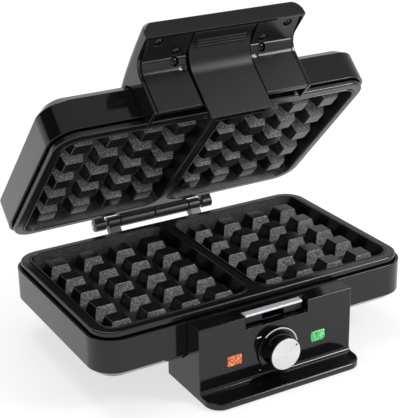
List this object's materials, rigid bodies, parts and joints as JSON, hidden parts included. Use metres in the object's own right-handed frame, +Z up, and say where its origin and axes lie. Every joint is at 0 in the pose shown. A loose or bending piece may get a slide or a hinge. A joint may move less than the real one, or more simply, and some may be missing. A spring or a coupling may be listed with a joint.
{
  "type": "waffle maker",
  "caption": "Double waffle maker with studded non-stick plates, a hinged lid standing open, a sprung latch in the handle, and a front pedestal with a dial and lamps.",
  "frame": {"origin": "on the surface that the machine stands on, under the middle of its box with the lid open as at rest", "axes": "+X to the right seen from the front, +Y towards the hinge, +Z up"},
  "size_m": [0.26, 0.2168, 0.2518],
  "materials": {
    "black_gloss": "polished black moulded plastic",
    "plate_coating": "die-cast aluminium with a fine speckled black non-stick coating",
    "inner_plastic": "plain dark moulded plastic",
    "steel": "plain steel",
    "catch_metal": "satin steel strip",
    "knob_cap": "turned aluminium with circular brushing",
    "orange_lens": "translucent orange lens with a prismatic back",
    "green_lens": "translucent green lens with a prismatic back",
    "lamp_glass": "clear neon lamp glass",
    "element": "dark sheathed heating element",
    "ceramic": "pale ceramic and phenolic",
    "rubber": "black rubber"
  },
  "bodies": {
    "base": {"base_housing": "black_gloss", "bottom_cover": "inner_plastic", "bottom_screw_1": "steel", "bottom_screw_2": "steel", "bottom_screw_3": "steel", "bottom_screw_4": "steel", "cord_inlet": "rubber", "lower_plate": "plate_coating", "lower_element": "element", "lower_reflector": "steel", "thermal_fuse": "ceramic", "pedestal": "black_gloss", "pedestal_cover": "inner_plastic", "terminal_block": "ceramic", "orange_lens": "orange_lens", "green_lens": "green_lens", "orange_lamp": "lamp_glass", "green_lamp": "lamp_glass", "catch_bar": "catch_metal", "dial_plate": "black_gloss", "thermostat": "ceramic", "front_pad_left": "rubber", "front_pad_right": "rubber", "rear_foot_left": "black_gloss", "rear_foot_right": "black_gloss", "rear_pad_left": "rubber", "rear_pad_right": "rubber", "base_hinge_leaf": "black_gloss", "hinge_pin": "steel"},
    "lid": {"lid_housing": "black_gloss", "upper_plate": "plate_coating", "upper_element": "element", "upper_reflector": "steel", "lid_hinge_leaf": "black_gloss", "handle_shell": "black_gloss", "handle_cover_left": "black_gloss", "handle_cover_right": "black_gloss", "handle_screw_left_1": "steel", "handle_screw_left_2": "steel", "handle_screw_left_3": "steel", "handle_screw_right_1": "steel", "handle_screw_right_2": "steel", "handle_screw_right_3": "steel", "latch_pin": "steel", "latch_spring": "steel"},
    "latch": {"latch": "black_gloss"},
    "dial": {"knob": "black_gloss", "knob_cap": "knob_cap", "dial_spindle": "steel"}
  },
  "joints": [
    {"name": "lid_hinge", "type": "hinge", "parent": "base", "child": "lid", "pos_m": [0, 0.09635, 0.0624], "axis": [-1, 0, 0], "range_deg": [-46, 54]},
    {"name": "latch_pivot", "type": "hinge", "parent": "lid", "child": "latch", "pos_m": [0, -0.00892, 0.23072], "axis": [-1, 0, 0], "range_deg": [0, 8], "stiffness_Nm_per_rad": 0.3, "springref_deg": -11.46, "deforming": ["latch_spring"]},
    {"name": "dial_turn", "type": "hinge", "parent": "base", "child": "dial", "pos_m": [0, -0.08985, 0.025], "axis": [0, 1, 0], "range_deg": [-191, 29]}
  ]
}
